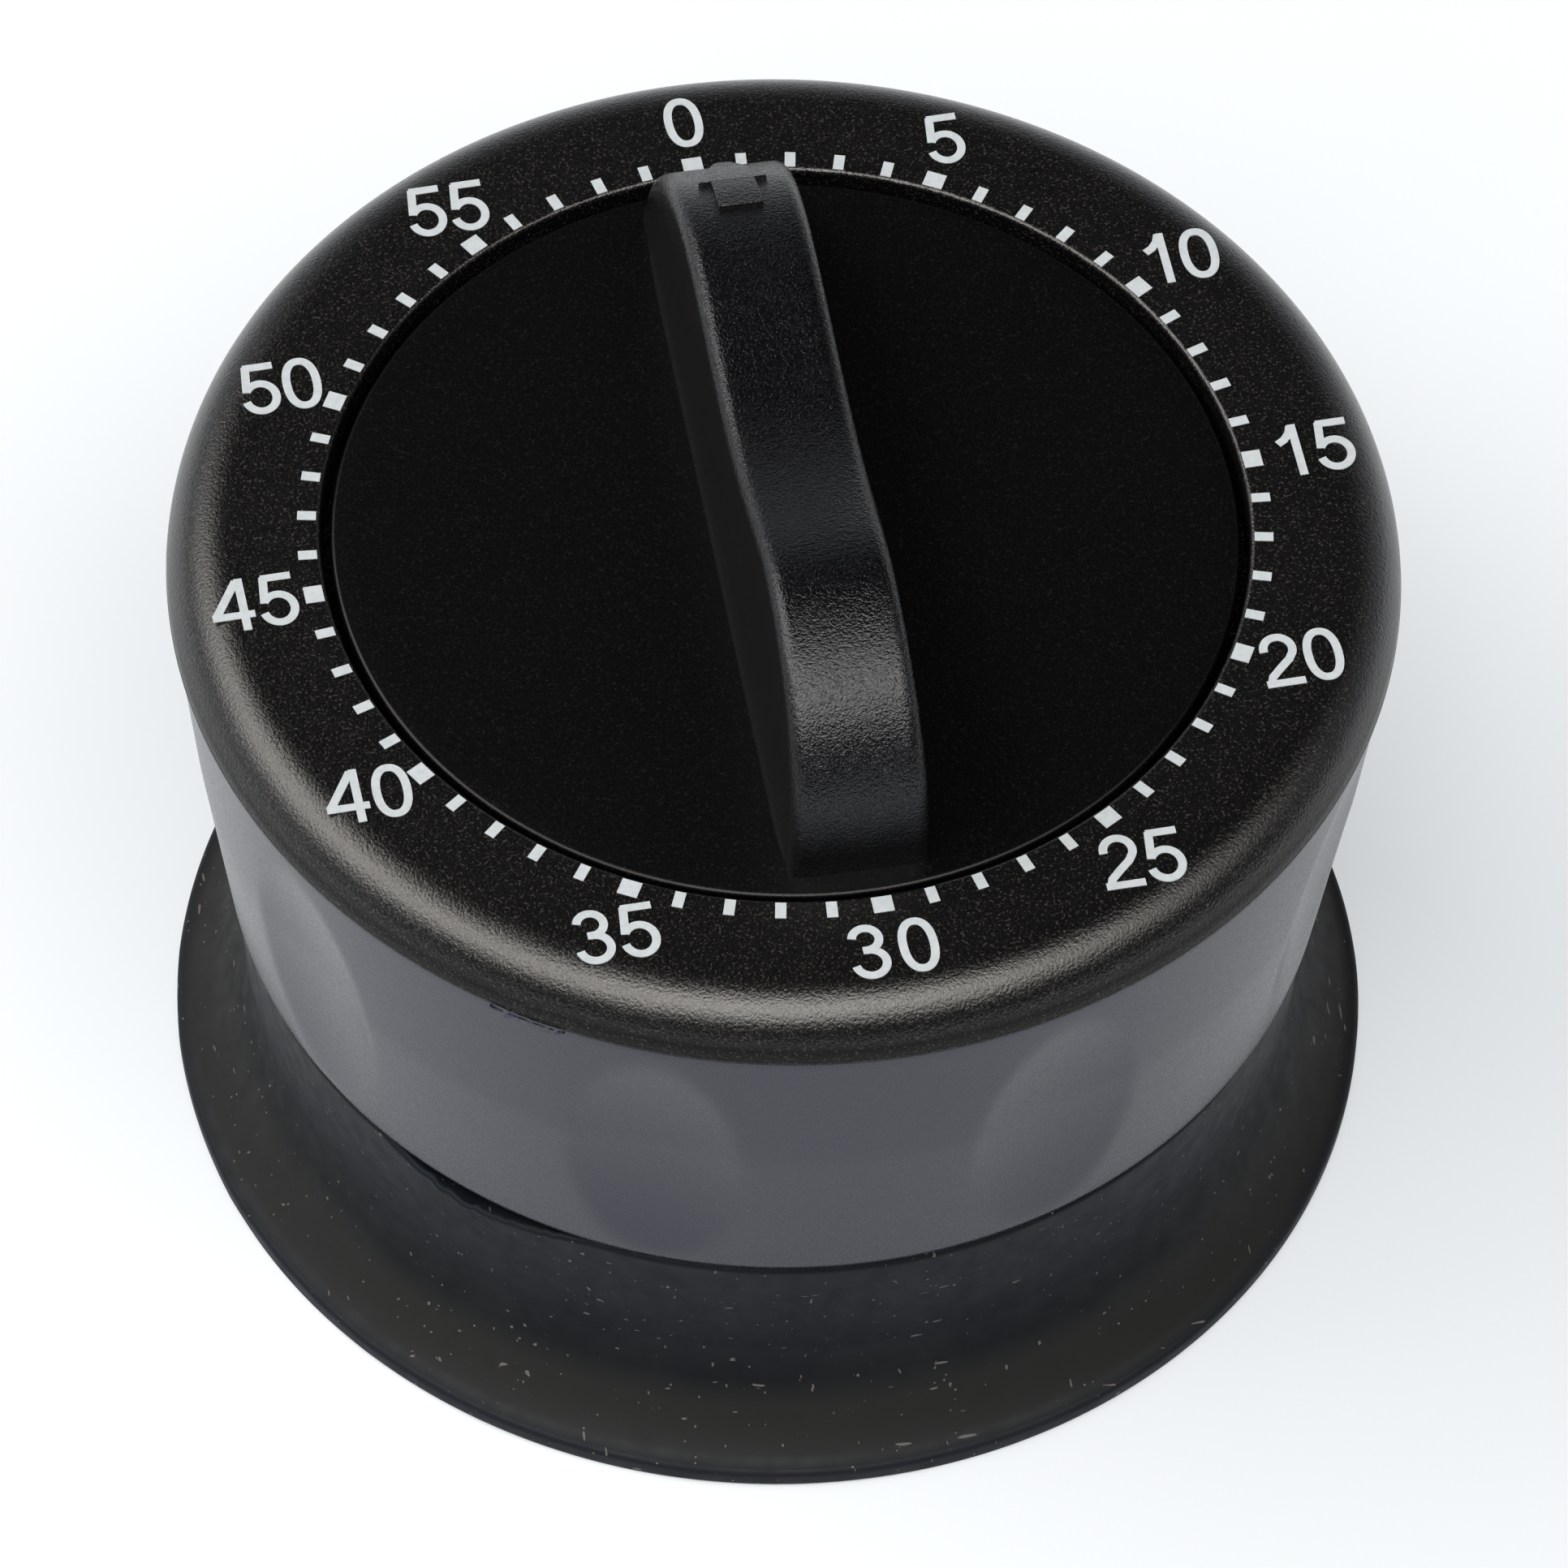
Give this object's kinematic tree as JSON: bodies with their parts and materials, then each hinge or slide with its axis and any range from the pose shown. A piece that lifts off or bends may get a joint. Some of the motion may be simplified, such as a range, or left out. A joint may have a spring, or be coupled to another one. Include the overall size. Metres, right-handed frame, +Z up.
{
  "type": "kitchen timer",
  "caption": "Round mechanical kitchen timer: finned winding knob in a numbered ring, dimpled tapering case, rubber suction foot, and a spring-driven movement with bell inside.",
  "frame": {"origin": "middle of the base, on the surface the timer stands on", "axes": "+Z up along the knob's axis; +Y from the middle of the dial to its zero mark; +X to the fifteen mark"},
  "size_m": [0.075, 0.075, 0.0609],
  "materials": {
    "dial_plastic": "matt black moulded plastic with a fine spark texture",
    "case_plastic": "satin black moulded plastic",
    "knob_plastic": "semi-gloss black moulded plastic with a fine grain",
    "foot_rubber": "matt black rubber",
    "screw_steel": "zinc-plated steel",
    "plate_steel": "stamped steel plate",
    "pivot_steel": "turned steel",
    "spring_steel": "blued spring steel",
    "wheel_brass": "stamped brass",
    "bell_steel": "nickel-plated steel"
  },
  "bodies": {
    "housing": {"dial_cap": "dial_plastic", "lower_case": "case_plastic", "suction_foot": "foot_rubber", "case_screws": "screw_steel", "movement_screws": "screw_steel", "front_plate": "plate_steel", "back_plate": "plate_steel", "plate_pillars": "pivot_steel", "pillar_nuts": "screw_steel", "arbor_bush": "wheel_brass", "detent_stud": "pivot_steel", "mainspring": "spring_steel", "spring_post": "pivot_steel", "bell": "bell_steel", "bell_post": "pivot_steel", "bell_screw": "screw_steel", "hammer_spring": "spring_steel", "detent_spring": "spring_steel"},
    "knob_and_arbor": {"knob": "knob_plastic", "main_arbor": "pivot_steel", "main_wheel": "wheel_brass", "clutch_washer": "spring_steel", "arbor_clip": "spring_steel", "trip_cam": "wheel_brass"},
    "second_arbor": {"second_pinion": "pivot_steel", "second_wheel": "wheel_brass", "strike_star": "wheel_brass"},
    "third_arbor": {"third_pinion": "pivot_steel", "third_wheel": "wheel_brass"},
    "escape_arbor": {"escape_pinion": "pivot_steel", "escape_wheel": "wheel_brass"},
    "anchor": {"pallet_anchor": "plate_steel", "pallet_pins": "pivot_steel", "anchor_arbor": "pivot_steel", "inertia_wheel": "wheel_brass"},
    "hammer": {"hammer_arbor": "pivot_steel", "hammer_arm": "plate_steel", "hammer_head": "pivot_steel", "hammer_tail": "plate_steel"},
    "detent": {"detent_lever": "plate_steel"}
  },
  "joints": [
    {"name": "knob_turn", "type": "hinge", "parent": "housing", "child": "knob_and_arbor", "pos_m": [0, 0, 0.045], "axis": [0, 0, -1], "range_deg": [-2, 352]},
    {"name": "second_turn", "type": "hinge", "parent": "housing", "child": "second_arbor", "pos_m": [0, 0.016, 0.03], "axis": [0, 0, -1], "range_deg": [-3169, 19]},
    {"name": "third_turn", "type": "hinge", "parent": "housing", "child": "third_arbor", "pos_m": [0.01184, 0.01169, 0.034], "axis": [0, 0, -1], "range_deg": [-145, 25345]},
    {"name": "escape_turn", "type": "hinge", "parent": "housing", "child": "escape_arbor", "pos_m": [0.01604, 0.00442, 0.034], "axis": [0, 0, -1], "range_deg": [-126721, 721]},
    {"name": "anchor_rock", "type": "hinge", "parent": "housing", "child": "anchor", "pos_m": [0.01827, -0.00389, 0.03], "axis": [0, 0, -1], "range_deg": [-7, 7]},
    {"name": "hammer_swing", "type": "hinge", "parent": "housing", "child": "hammer", "pos_m": [-0.0124, 0.0175, 0.028], "axis": [0, 0, -1], "range_deg": [-6, 2.9]},
    {"name": "detent_rock", "type": "hinge", "parent": "housing", "child": "detent", "pos_m": [-0.0085, 0.0102, 0.0355], "axis": [0, 0, 1], "range_deg": [-3, 2.6]}
  ],
  "couplings": [
    {"joint": "second_turn", "follows": "knob_turn", "ratio": -9},
    {"joint": "third_turn", "follows": "knob_turn", "ratio": 72},
    {"joint": "escape_turn", "follows": "knob_turn", "ratio": -360}
  ]
}
